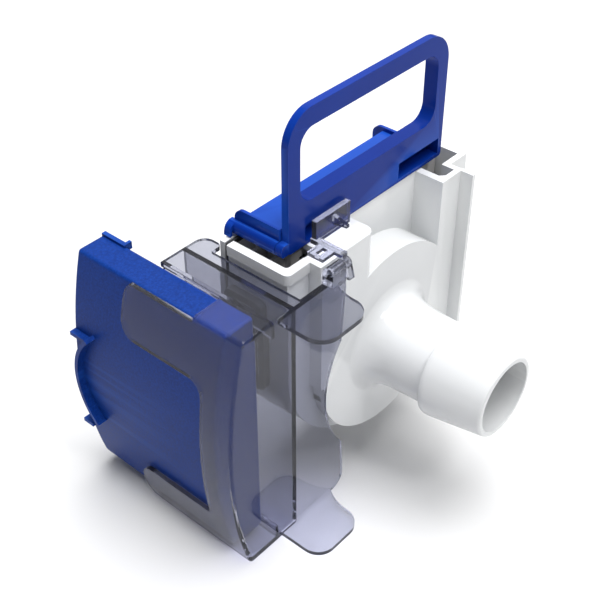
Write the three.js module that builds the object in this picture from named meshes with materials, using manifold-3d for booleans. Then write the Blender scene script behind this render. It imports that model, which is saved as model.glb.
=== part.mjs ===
// Pump water filter: a white slot housing with a hose barb, a lift-out filter cassette with a
// bail handle, and a clear debris bin with a sliding blue door.
// Millimetres. +Z is up, -Y is the way the hose barb points, the debris bin is at the -X end.
// The origin is the centre of the hose barb's ridge.
import * as THREE from 'three';
import * as BufferGeometryUtils from 'three/addons/utils/BufferGeometryUtils.js';
import Module from 'manifold-3d';

const wasm = await Module();
wasm.setup();

// ---------------------------------------------------------------- driving dimensions

const gap = 0.3;                       // running gap between neighbouring pieces

const barb = { ridge: 21, neck: 18, tip: 17.3, bore: 15.4, tipY: -26.5, base: 26 };
const drum = { radius: 42.6, wall: 2.4 };

const housing = {
  frontY: 31,                          // drum face, posts and block
  recessY: 44.9,                       // front face of the recessed wall
  shoulderY: 37,                       // front of the wide rear part
  backY: 66.6,
  topZ: 60.2,
  frontHalf: 44.75,
  rearHalf: 56.2,
  recess: [-12.5, 30.9],               // x range of the open recess above the drum
  wall: 2.7,
  bellyZ: 10,                          // where the straight sides turn into the belly
  blockRound: 4.5,                     // upright corner of the block
};
const rim = { out: 0.8, wall: 3, lowZ: 55.6, corner: 2.4 };
const rearCover = { thickness: 2.4, seal: 1.2 };
const rail = { x: [43.4, 45.2], y: 25.1, bottomZ: -24 };
const port = { y: [49.5, 62.5], z: [4, 40] };

const screwSpots = [[-51, 47], [51, 47], [-51, 12], [51, 12], [-38.8, -22.6], [38.8, -22.6]];
const screw = { head: 2.7, headDepth: 1.8, shank: 1.3, length: 11 };

const cassette = {
  half: 43,                            // basket half width
  frontY: 47.2,
  backY: 65.4,
  topZ: 58.6,
  bellyZ: 2,
  bellyDepth: 36,
  wall: 2.4,
};
const cap = {
  z: [61.2, 69.6],
  x: [-48.6, 36],
  y: [47.8, 65],
  finTop: 71.2,
  finBack: 70.2,
  finThick: 1.6,
};
const handle = {
  half: 47.35,
  windowHalf: 40.85,
  y: [44.25, 47.5],
  collarBack: 50.6,
  bottomZ: 60.7,
  sillZ: 79.2,
  lintelZ: 109.6,
  topZ: 117.4,
  corner: 13,
  windowCorner: 7,
  collar: 1.8,
};
const notch = { near: [-38, -15], far: [18.5, 45], z: [62.4, 69.5], backY: 50, wall: 1.2 };
const eave = { outX: -51.4, height: 5, hookX: -53, hookZ: 60.7, hookY: [68.6, 71.8], thickness: 1.2 };

const bin = {
  sideY: [28.8, 30.7],                 // the clear side wall and its wing
  backX: [-62, -60],                   // wall that faces the housing
  topZ: 53,
  bottomZ: -64,
  frontX: -88.5,                       // at the top and bottom of the front
  bulge: 9,
  wall: 2,
  endY: 85,
  rearLedge: { x: -50.8, y: 75.4 },    // corner of the top plate that reaches behind the housing
  mouthY: 53,                          // the top is open over the door beyond this
};
const doorway = { sideY: 44.8, sillZ: -40, lintelZ: 28.6, tongueY: 88.5, lipY: 87, corner: 8 };
const door = {
  y: [38, 118],
  z: [-59, 50.4],
  backX: -73.2,
  wall: 2,
  clearance: 0.45,
};
const ear = { thickness: 2, frontY: 7.5, left: -70.6, right: -43.5 };
const latch = {
  x: [-35.2, -15.4],
  stemX: [-36, -33.2],
  barY: [41.4, 43.7],
  topZ: [60.7, 62.8],
  barZ: 70.4,
  pinY: 28.1,
  pinZ: 58.6,
  barrel: 2.4,
  thumbZ: 52.5,
  spike: { y: 34.4, rootZ: [65.2, 69.2], tipZ: [66.2, 67.4], half: 0.8 },
};
const bracket = { x: [-44.2, -36.5], pinRadius: 1, holeRadius: 1.3 };
const fingerRing = { y: 82.3, z: -6, radius: 32.1, thickness: 1.8, span: [-0.765, 0.769], x: -98.3 };
const doorTab = { x: [-96.8, -92], y: [107.5, 117.4], z: [13.8, 15.6] };
const doorFoot = { x: [-95.8, -90], y: [113, 118.8], z: [-35.6, -33.8], cut: [3, 5] };
const doorClip = { x: [-74.8, -72.8], y: [104.6, 117.6], drop: 2, rise: 1.2, hookX: -70.8, hookY: 106 };

// ---------------------------------------------------------------- helpers

// A three.js geometry as a manifold solid.
function solid(geometry) {
  const bare = geometry.clone();
  bare.deleteAttribute('normal');
  bare.deleteAttribute('uv');
  const merged = BufferGeometryUtils.mergeVertices(bare, 1e-4);
  const mesh = new wasm.Mesh({
    numProp: 3,
    vertProperties: new Float32Array(merged.attributes.position.array),
    triVerts: new Uint32Array(merged.index.array),
  });
  return new wasm.Manifold(mesh);
}

// A manifold solid as a three.js geometry.
function geometryOf(body) {
  const mesh = body.getMesh();
  const geometry = new THREE.BufferGeometry();
  geometry.setAttribute('position', new THREE.BufferAttribute(new Float32Array(mesh.vertProperties), 3));
  geometry.setIndex(new THREE.BufferAttribute(new Uint32Array(mesh.triVerts), 1));
  geometry.computeVertexNormals();
  return geometry;
}

function join(...bodies) {
  return bodies.reduce((whole, body) => whole.add(body));
}

function cut(body, ...tools) {
  return tools.reduce((rest, tool) => rest.subtract(tool), body);
}

function box(x, y, z) {
  const geometry = new THREE.BoxGeometry(x[1] - x[0], y[1] - y[0], z[1] - z[0]);
  geometry.translate((x[0] + x[1]) / 2, (y[0] + y[1]) / 2, (z[0] + z[1]) / 2);
  return solid(geometry);
}

function extrude(shape, depth, curveSegments) {
  return new THREE.ExtrudeGeometry(shape, { depth, bevelEnabled: false, curveSegments });
}

// Outline in (x, z), pushed along Y.
function alongY(shape, y, curveSegments = 12) {
  const geometry = extrude(shape, y[1] - y[0], curveSegments);
  geometry.rotateX(Math.PI / 2);
  geometry.translate(0, y[1], 0);
  return solid(geometry);
}

// Outline in (x, y), pushed along Z.
function alongZ(shape, z, curveSegments = 12) {
  const geometry = extrude(shape, z[1] - z[0], curveSegments);
  geometry.translate(0, 0, z[0]);
  return solid(geometry);
}

// Outline in (y, z), pushed along X.
function alongX(shape, x, curveSegments = 12) {
  const geometry = extrude(shape, x[1] - x[0], curveSegments);
  const turn = new THREE.Matrix4().makeBasis(
    new THREE.Vector3(0, 1, 0), new THREE.Vector3(0, 0, 1), new THREE.Vector3(1, 0, 0));
  geometry.applyMatrix4(turn);
  geometry.translate(x[0], 0, 0);
  return solid(geometry);
}

function cylinderAlongY(x, z, radius, y, sides = 32) {
  const geometry = new THREE.CylinderGeometry(radius, radius, y[1] - y[0], sides);
  geometry.translate(x, (y[0] + y[1]) / 2, z);
  return solid(geometry);
}

function cylinderAlongX(y, z, radius, x, sides = 20) {
  const geometry = new THREE.CylinderGeometry(radius, radius, x[1] - x[0], sides);
  geometry.rotateZ(Math.PI / 2);
  geometry.translate((x[0] + x[1]) / 2, y, z);
  return solid(geometry);
}

function polygon(points) {
  return new THREE.Shape(points.map(([u, v]) => new THREE.Vector2(u, v)));
}

// A rectangle with its own radius at each corner: low-low, high-low, high-high, low-high.
function roundedRect(u, v, radii) {
  const [a, b, c, d] = radii;
  const shape = new THREE.Shape();
  shape.moveTo(u[0] + a, v[0]);
  shape.lineTo(u[1] - b, v[0]);
  if (b > 0) shape.absarc(u[1] - b, v[0] + b, b, -Math.PI / 2, 0, false);
  shape.lineTo(u[1], v[1] - c);
  if (c > 0) shape.absarc(u[1] - c, v[1] - c, c, 0, Math.PI / 2, false);
  shape.lineTo(u[0] + d, v[1]);
  if (d > 0) shape.absarc(u[0] + d, v[1] - d, d, Math.PI / 2, Math.PI, false);
  shape.lineTo(u[0], v[0] + a);
  if (a > 0) shape.absarc(u[0] + a, v[0] + a, a, Math.PI, Math.PI * 1.5, false);
  return shape;
}

// Straight sides from topZ down to bellyZ, closed by half an ellipse.
function bellyOutline(half, topZ, bellyZ, depth) {
  const shape = new THREE.Shape();
  shape.moveTo(half, topZ);
  shape.lineTo(-half, topZ);
  shape.lineTo(-half, bellyZ);
  shape.absellipse(0, bellyZ, half, depth, Math.PI, Math.PI * 2, false, 0);
  shape.lineTo(half, topZ);
  return shape;
}

const group = new THREE.Group();

function addPiece(name, body, material) {
  const mesh = new THREE.Mesh(geometryOf(body), material.clone());
  mesh.name = name;
  group.add(mesh);
}

const finishes = {
  white: new THREE.MeshStandardMaterial({ color: 0xe9eaea, roughness: 0.25, metalness: 0 }),
  blueGloss: new THREE.MeshStandardMaterial({ color: 0x1a3fae, roughness: 0.22, metalness: 0 }),
  blueGrain: new THREE.MeshStandardMaterial({ color: 0x1d3f95, roughness: 0.6, metalness: 0 }),
  grey: new THREE.MeshStandardMaterial({ color: 0x8f8c8a, roughness: 0.4, metalness: 0 }),
  clear: new THREE.MeshStandardMaterial({ color: 0xa9abbd, roughness: 0.08, metalness: 0 }),
  rubber: new THREE.MeshStandardMaterial({ color: 0x26282b, roughness: 0.75, metalness: 0 }),
  steel: new THREE.MeshStandardMaterial({ color: 0xb8bbbf, roughness: 0.3, metalness: 1 }),
  mesh: new THREE.MeshStandardMaterial({ color: 0x9aa0a6, roughness: 0.45, metalness: 0.6 }),
  paper: new THREE.MeshStandardMaterial({ color: 0xe6e3d8, roughness: 0.9, metalness: 0 }),
};

// ---------------------------------------------------------------- white housing

function barbBody() {
  const { ridge, neck, tip, tipY, base } = barb;
  const bend = housing.frontY;
  const profile = [
    [0, bend + 1],
    [base, bend + 1],
    [base, bend],
    [base - 3.4, bend - 1],
    [base - 5.6, bend - 3.2],
    [base - 6.8, bend - 7],
    [neck, 4],
    [neck, 1.6],
    [ridge, 0.8],
    [ridge, -1.6],
    [tip + 0.4, tipY + 1],
    [tip - 0.3, tipY],
    [0, tipY],
  ];
  const points = profile.map(([r, y]) => new THREE.Vector2(r, y)).reverse();
  return solid(new THREE.LatheGeometry(points, 48));
}

function barbBore() {
  return cylinderAlongY(0, 0, barb.bore, [barb.tipY - 1, housing.frontY + drum.wall + 1], 48);
}

function housingShell() {
  const h = housing;
  const front = [h.frontY, h.shoulderY + 3];
  const plate = alongY(bellyOutline(h.frontHalf, h.topZ, -18, 24), [h.frontY, h.shoulderY + 1], 20);
  const keep = join(
    cylinderAlongY(0, 0, drum.radius, front, 72),
    box([-h.frontHalf, h.frontHalf], front, [0, h.topZ]),
    box([30, h.frontHalf], front, [-18, 1]),
  );
  const wide = alongY(bellyOutline(h.rearHalf, h.topZ, h.bellyZ, h.bellyZ + drum.radius),
    [h.shoulderY, h.backY], 24);
  return join(plate.intersect(keep), cylinderAlongY(0, 0, drum.radius, front, 72), wide);
}

function housingCavity() {
  const h = housing;
  const w = h.wall;
  const slotFront = h.recessY + 1.3;
  const slot = alongY(
    bellyOutline(h.rearHalf - w, h.topZ + 1, h.bellyZ, h.bellyZ + drum.radius - w),
    [slotFront, h.backY + 1], 24);
  const drumHollow = cylinderAlongY(0, 0, drum.radius - drum.wall,
    [h.frontY + drum.wall, slotFront + 1], 64);
  const blockHollow = box([-h.frontHalf + w, h.recess[0] - w], [h.frontY + w, slotFront + 1],
    [-10, h.topZ - w]);
  const nearChannel = box([-h.rearHalf + w, -37], [h.shoulderY + w, slotFront + 1], [0, h.topZ + 1]);
  const farChannel = box([34.3, h.rearHalf - w], [h.shoulderY + w, slotFront + 1], [0, h.topZ + 1]);
  const farPocket = alongZ(
    polygon([[34.3, 41], [34.3, 35.4], [36.3, 33.5], [42.1, 33.5], [42.1, 41]]), [-8, h.topZ + 1]);
  return join(slot, drumHollow, blockHollow, nearChannel, farChannel, farPocket);
}

// The open recess above the drum, between the block and the far post.
function recessSpace() {
  const h = housing;
  const [near, far] = h.recess;
  const r = h.blockRound;
  const plan = new THREE.Shape();
  plan.moveTo(near, h.recessY);
  plan.lineTo(near, h.frontY + r);
  plan.absarc(near - r, h.frontY + r, r, 0, -Math.PI / 2, true);
  plan.lineTo(near - r, h.frontY - 1);
  plan.lineTo(far, h.frontY - 1);
  plan.lineTo(far, h.recessY);
  const space = alongZ(plan, [0, h.topZ + 1], 8);
  return cut(space, cylinderAlongY(0, 0, drum.radius, [h.frontY - 2, h.recessY + 1], 72));
}

// Bead round the near end of the slot's mouth.
function rimBead() {
  const h = housing;
  const x = -h.rearHalf;
  const y = h.shoulderY;
  const end = -h.frontHalf + 1;
  const shape = roundedRect([x - rim.out, end], [y - rim.out, h.backY], [rim.corner, 0, 0, 0]);
  const inside = box([x + rim.wall, end + 1], [y + rim.wall, h.backY + 1], [rim.lowZ - 1, h.topZ + 1]);
  return cut(alongZ(shape, [rim.lowZ, h.topZ], 6), inside);
}

function housingPiece() {
  const h = housing;
  const farRail = box(rail.x, [rail.y, h.frontY + 1], [rail.bottomZ, h.topZ]);
  const nearPort = box([-h.rearHalf - 1, -h.rearHalf + h.wall + 1], port.y, port.z);
  const bosses = screwSpots.map(([x, z]) => cylinderAlongY(x, z, 3.1, [52, h.backY], 20));
  const pilots = screwSpots.map(([x, z]) => cylinderAlongY(x, z, screw.shank + 0.3,
    [55, h.backY + 1], 16));
  const shell = join(cut(housingShell(), recessSpace()), barbBody(), farRail);
  const hollowed = cut(shell, housingCavity(), barbBore(), nearPort);
  return cut(join(hollowed, rimBead(), ...bosses), ...pilots);
}

function rearOutline(inset) {
  const h = housing;
  return bellyOutline(h.rearHalf - inset, h.topZ - inset, h.bellyZ, h.bellyZ + drum.radius - inset);
}

function rearSealPiece() {
  const y = [housing.backY + gap, housing.backY + gap + rearCover.seal];
  const ring = cut(alongY(rearOutline(0.2), y, 24),
    alongY(rearOutline(2.2), [y[0] - 1, y[1] + 1], 24));
  const lowScrewHoles = screwSpots.slice(4).map(([x, z]) => cylinderAlongY(x, z, 3.2,
    [y[0] - 1, y[1] + 1], 16));
  return cut(ring, ...lowScrewHoles);
}

function rearCoverPiece() {
  const start = housing.backY + rearCover.seal + 2 * gap;
  const y = [start, start + rearCover.thickness];
  const plate = alongY(rearOutline(0), y, 24);
  const ribs = [-24, 0, 24].map((x) => box([x - 1, x + 1], [y[1] - 0.5, y[1] + 1.6], [-26, 50]));
  const crossRib = box([-40, 40], [y[1] - 0.5, y[1] + 1.6], [11, 13]);
  const pads = screwSpots.map(([x, z]) => cylinderAlongY(x, z, 4.4, [y[1] - 0.5, y[1] + 0.8], 24));
  const holes = screwSpots.map(([x, z]) => cylinderAlongY(x, z, screw.shank + gap,
    [y[0] - 1, y[1] + 3], 16));
  return cut(join(plate, ...ribs, crossRib, ...pads), ...holes);
}

function screwPiece(x, z) {
  const headY = housing.backY + rearCover.seal + 2 * gap + rearCover.thickness + 0.8 + gap;
  const head = cylinderAlongY(x, z, screw.head, [headY, headY + screw.headDepth], 24);
  const shank = cylinderAlongY(x, z, screw.shank, [headY - screw.length, headY + 0.5], 16);
  const slotA = box([x - 1.7, x + 1.7], [headY + 0.9, headY + 3], [z - 0.35, z + 0.35]);
  const slotB = box([x - 0.35, x + 0.35], [headY + 0.9, headY + 3], [z - 1.7, z + 1.7]);
  return cut(join(head, shank), slotA, slotB);
}

function portGasketPiece() {
  const outer = roundedRect([port.y[0] - 3, port.y[1] + 3], [port.z[0] - 3, port.z[1] + 3], [3, 3, 3, 3]);
  const inner = roundedRect(port.y, port.z, [1, 1, 1, 1]);
  const x = [bin.backX[1] + gap, -housing.rearHalf - gap];
  return cut(alongX(outer, x), alongX(inner, [x[0] - 1, x[1] + 1]));
}

function outletGratingPiece() {
  const y = [housing.frontY + drum.wall + gap, housing.frontY + drum.wall + gap + 1.6];
  const ring = cut(cylinderAlongY(0, 0, 18.6, y, 40), cylinderAlongY(0, 0, 15.4, [y[0] - 1, y[1] + 1], 40));
  const bars = [-9, -3, 3, 9].map((x) => {
    const reach = Math.sqrt(17 ** 2 - x ** 2);
    return box([x - 0.7, x + 0.7], y, [-reach, reach]);
  });
  const tie = box([-17, 17], y, [-0.7, 0.7]);
  return join(ring, ...bars, tie);
}

// ---------------------------------------------------------------- cassette

function cassetteOutline(inset) {
  const c = cassette;
  return bellyOutline(c.half - inset, c.topZ - inset, c.bellyZ, c.bellyDepth - inset);
}

function basketFramePiece() {
  const c = cassette;
  const y = [c.frontY, c.backY];
  const ring = cut(alongY(cassetteOutline(0), y, 20),
    alongY(cassetteOutline(c.wall), [y[0] + 1.6, y[1] - 1.6], 20),
    alongY(cassetteOutline(c.wall + 2.4), [y[0] - 1, y[1] + 1], 20));
  const bars = [-20, 0, 20].map((x) => box([x - 1, x + 1], [c.backY - 1.6, c.backY], [-30, 56.5]));
  const crossBar = box([-41, 41], [c.backY - 1.6, c.backY], [14, 16]);
  const inlet = box([-c.half - 1, -c.half + c.wall + 3], [port.y[0] + 1, port.y[1] - 1], port.z);
  const guides = [-1, 1].flatMap((side) => [50.8, 60].map((guideY) => {
    const reach = [side * (c.half - 1), side * (housing.rearHalf - housing.wall - 0.6)];
    return box([Math.min(...reach), Math.max(...reach)], [guideY - 0.8, guideY + 0.8], [46, 57]);
  }));
  const clearOfScrews = screwSpots.slice(0, 2).map(([x, z]) => cylinderAlongY(x, z, 3.8, [51.5, 70], 20));
  return cut(join(cut(ring, inlet), ...bars, crossBar, ...guides), ...clearOfScrews);
}

// Flat woven screen, held behind the basket's front flange.
function screenPiece() {
  const c = cassette;
  const y = [c.frontY + 1.6 + gap, c.frontY + 1.6 + gap + 0.8];
  return alongY(cassetteOutline(c.wall + gap), y, 20);
}

// Frame that presses the screen against the front flange.
function screenRetainerPiece() {
  const c = cassette;
  const start = c.frontY + 1.6 + 2 * gap + 0.8;
  const y = [start, start + 1.6];
  const ring = cut(alongY(cassetteOutline(c.wall + gap), y, 20),
    alongY(cassetteOutline(c.wall + 3), [y[0] - 1, y[1] + 1], 20));
  const bars = [-14, 14].map((x) => box([x - 1, x + 1], y, [-25, 54.5]));
  return join(ring, ...bars);
}

// Folded paper: one sheet that zigzags across the basket.
function pleatsPiece() {
  const folds = 16;
  const width = 68;
  const front = 52.6;
  const depth = 7;
  const sheet = 0.9;
  const pitch = width / folds;
  const near = [];
  const far = [];
  for (let n = 0; n <= folds; n += 1) {
    const x = -width / 2 + n * pitch;
    const y = front + (n % 2 === 0 ? 0 : depth);
    near.push([x, y]);
    far.unshift([x, y + sheet * 2]);
  }
  return alongZ(polygon([...near, ...far]), [-14, 52]);
}

function pleatEndPiece(z) {
  return box([-34, 34], [52, 62.2], [z, z + 1.8]);
}

function capPiece() {
  const k = cap;
  const top = box([k.x[0], k.x[1]], k.y, [k.z[1] - 2.2, k.z[1]]);
  const skirtBack = box(k.x, [k.y[1] - 2, k.y[1]], [k.z[0], k.z[1]]);
  const skirtNear = box([k.x[0], k.x[0] + 2], [k.y[0], k.y[1]], [k.z[0], k.z[1]]);
  const skirtFar = box([k.x[1] - 2, k.x[1]], k.y, [k.z[0], k.z[1]]);
  const floor = box([k.x[0], handle.half], [k.y[0], k.y[1]], [k.z[0], k.z[0] + 2]);
  const finShape = roundedRect([k.y[0], k.finBack], [k.z[0], k.finTop], [0, 0, 3.4, 0]);
  const fins = [k.x[0] - 0.01, k.x[1] - k.finThick].map((x) => alongX(finShape, [x, x + k.finThick], 8));
  const farStep = box([k.x[1] - 1, handle.half], [k.y[0], 60], [k.z[0], k.z[0] + 3]);
  const lip = alongY(eaveOutline(k.x[0] + 0.5), [k.y[0], eave.hookY[1]], 8);
  const body = join(top, skirtBack, skirtNear, skirtFar, floor, ...fins, lip, farStep, eaveHook());
  return cut(body, ...[notch.near, notch.far].map((x) => pocketBox(x, notch.wall + gap)));
}

// Rounded eave that runs along the near end of the cap and the plate, in (x, z).
function eaveOutline(rootX) {
  const bottom = cap.z[0];
  const top = bottom + eave.height;
  const shape = new THREE.Shape();
  shape.moveTo(rootX, bottom);
  shape.lineTo(rootX, top);
  shape.lineTo(cap.x[0] - 1, top);
  shape.quadraticCurveTo(eave.outX, top - 0.6, eave.outX, bottom);
  return shape;
}

// Thin quarter shell that hooks down at the rear end of the eave.
function eaveHook() {
  const top = cap.z[0] + eave.height;
  const inner = eave.hookX + eave.thickness;
  const shape = new THREE.Shape();
  shape.moveTo(cap.x[0], top);
  shape.quadraticCurveTo(eave.hookX, top, eave.hookX, eave.hookZ);
  shape.lineTo(inner, eave.hookZ);
  shape.quadraticCurveTo(inner, top - eave.thickness, cap.x[0], top - eave.thickness);
  return alongY(shape, eave.hookY, 8);
}

// The space of one blind recess in the front plate, grown on every side but the front.
function pocketBox(x, grow) {
  const y = [handle.y[0] - 1, notch.backY + grow];
  return box([x[0] - grow, x[1] + grow], y, [notch.z[0] - grow, notch.z[1] + grow]);
}

// Front plate with the bail handle and its finger collar.
function bailHandlePiece() {
  const h = handle;
  const outline = roundedRect([-h.half, h.half], [h.bottomZ, h.topZ], [1.5, 1.5, h.corner, h.corner]);
  const windowX = [-h.windowHalf, h.windowHalf];
  const windowZ = [h.sillZ, h.lintelZ];
  const r = h.windowCorner;
  const opening = roundedRect(windowX, windowZ, [r, r, r, r]);
  const t = h.collar;
  const collarOuter = roundedRect([windowX[0] - t, windowX[1] + t], [windowZ[0] - t, windowZ[1] + t],
    [r + t, r + t, r + t, r + t]);
  const plate = alongY(outline, h.y, 10);
  const collar = alongY(collarOuter, [h.y[0] + 1, h.collarBack], 10);
  const hole = alongY(opening, [h.y[0] - 1, h.collarBack + 1], 10);
  const spaces = [notch.near, notch.far];
  const inFront = box([-h.half, h.half], [h.y[0] - 2, h.y[0]], [h.bottomZ - 5, h.topZ]);
  const pockets = spaces.map((x) => cut(pocketBox(x, notch.wall), inFront));
  const recesses = spaces.map((x) => pocketBox(x, 0));
  const lip = alongY(eaveOutline(-h.half + 0.5), h.y, 8);
  return cut(join(plate, collar, lip, ...pockets), hole, ...recesses);
}

function capSealPiece() {
  const y = [cap.y[0] + 0.4, cap.y[1] - 0.6];
  const z = [cassette.topZ + gap, cap.z[0] - gap];
  const outer = roundedRect([-42.6, 42.6], y, [3, 3, 3, 3]);
  const inner = roundedRect([-39.6, 39.6], [y[0] + 3, y[1] - 3], [1, 1, 1, 1]);
  return cut(alongZ(outer, z), alongZ(inner, [z[0] - 1, z[1] + 1]));
}

// ---------------------------------------------------------------- clear bin, latch and door

// Front line of the bin in (x, z): an arc between the top and bottom corners.
function frontCurve(offset, zRange, steps = 18) {
  const middle = (bin.topZ + bin.bottomZ) / 2;
  const halfChord = (bin.topZ - bin.bottomZ) / 2;
  const radius = (halfChord ** 2 + bin.bulge ** 2) / (2 * bin.bulge);
  const centreX = bin.frontX - bin.bulge + radius;
  const points = [];
  for (let n = 0; n <= steps; n += 1) {
    const z = zRange[0] + (zRange[1] - zRange[0]) * n / steps;
    const reach = Math.sqrt((radius - offset) ** 2 - (z - middle) ** 2);
    points.push([centreX - reach, z]);
  }
  return points;
}

// Region between the front line and a flat back, in (x, z).
function frontedOutline(offset, z, backX) {
  return polygon([...frontCurve(offset, z), [backX, z[1]], [backX, z[0]]]);
}

// Opening of the curved front, in (y, z): the tongue stays above it and the lip below it.
function doorwayOutline() {
  const { sideY, sillZ, lintelZ, tongueY, lipY, corner } = doorway;
  const outside = tongueY + 3;
  const shape = new THREE.Shape();
  shape.moveTo(outside, bin.bottomZ - 3);
  shape.lineTo(lipY - corner, bin.bottomZ - 3);
  shape.lineTo(lipY - corner, bin.bottomZ);
  shape.absarc(lipY - corner, bin.bottomZ + corner, corner, -Math.PI / 2, 0, false);
  shape.quadraticCurveTo(lipY, sillZ, lipY - corner, sillZ);
  shape.lineTo(sideY + 1, sillZ);
  shape.lineTo(sideY, sillZ + 1);
  shape.lineTo(sideY, lintelZ - corner);
  shape.quadraticCurveTo(sideY, lintelZ, sideY + corner, lintelZ);
  shape.lineTo(tongueY - corner, lintelZ);
  shape.absarc(tongueY - corner, lintelZ + corner, corner, -Math.PI / 2, 0, false);
  shape.absarc(tongueY - corner, bin.topZ - corner, corner, 0, Math.PI / 2, false);
  shape.lineTo(tongueY - corner, bin.topZ + 3);
  shape.lineTo(outside, bin.topZ + 3);
  return shape;
}

function earOutline(z) {
  const e = ear;
  const y = bin.sideY[0] + 0.6;
  const shape = new THREE.Shape();
  shape.moveTo(e.left, y);
  shape.lineTo(e.left, e.frontY + 8);
  shape.absarc(e.left + 8, e.frontY + 8, 8, Math.PI, Math.PI * 1.5, false);
  shape.lineTo(e.right - 8, e.frontY);
  shape.absarc(e.right - 8, e.frontY + 8, 8, -Math.PI / 2, 0, false);
  shape.quadraticCurveTo(e.right, y - 6, e.right + 5, y);
  shape.lineTo(e.left, y);
  return alongZ(shape, [z - e.thickness, z], 8);
}

// Side wall and wing in (x, z): the free edge is scooped to follow the drum.
function wingOutline() {
  const b = bin;
  const shape = new THREE.Shape();
  shape.moveTo(-66, b.bottomZ + 2);
  shape.lineTo(-38, b.bottomZ + 2);
  shape.quadraticCurveTo(-31.2, b.bottomZ + 3, -31.2, -55);
  shape.lineTo(-32.4, -36);
  shape.quadraticCurveTo(-43.5, -22, -43, -4);
  shape.quadraticCurveTo(-42, 10, -34.3, 20.5);
  shape.lineTo(-32.4, 44);
  shape.quadraticCurveTo(-32.4, b.topZ, -37, b.topZ);
  shape.lineTo(-66, b.topZ);
  shape.lineTo(-66, b.bottomZ + 2);
  return shape;
}

function clearBinPiece() {
  const b = bin;
  const zOuter = [b.bottomZ, b.topZ];
  const zInner = [b.bottomZ + b.wall, b.topZ - b.wall];
  const body = alongY(frontedOutline(0, zOuter, b.backX[1]), [b.sideY[0], doorway.tongueY + 1]);
  const inside = alongY(frontedOutline(b.wall, zInner, b.backX[0]), [b.sideY[1], doorway.tongueY + 3]);
  const pastEnd = box([door.backX - 1.2, -50], [b.endY, 120], [-90, 90]);
  const topMouth = box([-110, door.backX - 0.8], [b.mouthY, 120], [b.topZ - b.wall - 0.5, b.topZ + 1]);
  const frontOpening = alongX(doorwayOutline(), [-110, door.backX - 1.2], 8);
  const portHole = box([b.backX[0] - 1, b.backX[1] + 1], port.y, port.z);
  const wing = alongY(wingOutline(), b.sideY, 8);
  const plateZ = [b.topZ - b.wall, b.topZ];
  const topLedge = box([b.backX[0], -housing.rearHalf - gap], [b.sideY[0], b.endY - 6], plateZ);
  const rearLedge = alongZ(roundedRect([b.backX[0], b.rearLedge.x], [b.rearLedge.y, b.endY], [0, 2, 5, 0]),
    plateZ, 8);
  const bracketFoot = box(bracket.x, [latch.pinY - latch.barrel, b.sideY[1]], [b.topZ - 1, latch.pinZ]);
  const bracketEnd = cylinderAlongX(latch.pinY, latch.pinZ, latch.barrel, bracket.x);
  const pinHole = cylinderAlongX(latch.pinY, latch.pinZ, bracket.holeRadius, [bracket.x[0] + 1.6, -30]);
  const guideRail = box([door.backX + gap, door.backX + gap + 1.6], [b.sideY[1] - 0.5, b.endY],
    [b.topZ - 8, b.topZ - 1]);
  const lowRail = box([door.backX + gap, door.backX + gap + 1.6], [b.sideY[1] - 0.5, b.endY],
    [b.bottomZ + 1, b.bottomZ + 8]);
  const shell = cut(body, inside, pastEnd, topMouth, frontOpening, portHole);
  const whole = join(shell, wing, topLedge, rearLedge, earOutline(b.topZ), earOutline(b.bottomZ + 4),
    bracketFoot, bracketEnd, guideRail, lowRail);
  return cut(whole, pinHole);
}

function latchPinPiece() {
  const x = [bracket.x[0] + 1.6 + gap, latch.stemX[1] - 0.3];
  return cylinderAlongX(latch.pinY, latch.pinZ, bracket.pinRadius, x, 16);
}

// Clear latch: a bar that stands against the handle plate, on an arm that swings on the bracket.
function latchPiece() {
  const l = latch;
  const barrel = cylinderAlongX(l.pinY, l.pinZ, l.barrel, l.stemX);
  const arm = box(l.stemX, [l.pinY, l.barY[1]], l.topZ);
  const bar = box(l.x, l.barY, [l.topZ[0], l.barZ]);
  const webX = [bracket.x[0] + 1.6, l.stemX[0] + 0.5];
  const web = box(webX, [32, 39.6], [l.topZ[0], l.topZ[1] - 0.5]);
  const webSlot = box([webX[0] + 1.6, webX[1] - 1.2], [34.6, 36.8], [l.topZ[0] - 1, l.topZ[1] + 1]);
  const ribX = (l.x[0] + l.x[1]) / 2;
  const root = l.barY[0] + 0.2;
  const spike = [[root, l.spike.rootZ[1]], [root, l.spike.rootZ[0]],
    [l.spike.y, l.spike.tipZ[0]], [l.spike.y, l.spike.tipZ[1]]];
  const rib = alongX(polygon(spike), [ribX - l.spike.half, ribX + l.spike.half]);
  const thumb = alongX(polygon([[l.pinY - l.barrel, l.pinZ], [l.pinY - 0.4, l.pinZ],
    [l.pinY - 2.3, l.thumbZ], [l.pinY - 3.8, l.thumbZ + 0.4]]), l.stemX);
  const hole = cylinderAlongX(l.pinY, l.pinZ, bracket.holeRadius, [l.stemX[0] - 1, l.stemX[1] + 1]);
  return cut(join(barrel, arm, bar, web, rib, thumb), webSlot, hole);
}

// Raised finger lip at the free end of the door: a thin curved wall between two arcs, in (y, z).
function fingerLip() {
  const { y, z, radius, thickness, span, x } = fingerRing;
  const shape = new THREE.Shape();
  shape.absarc(y, z, radius + thickness, span[0], span[1], false);
  shape.absarc(y, z, radius, span[1], span[0], true);
  return alongX(shape, [x, -90], 10);
}

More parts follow.
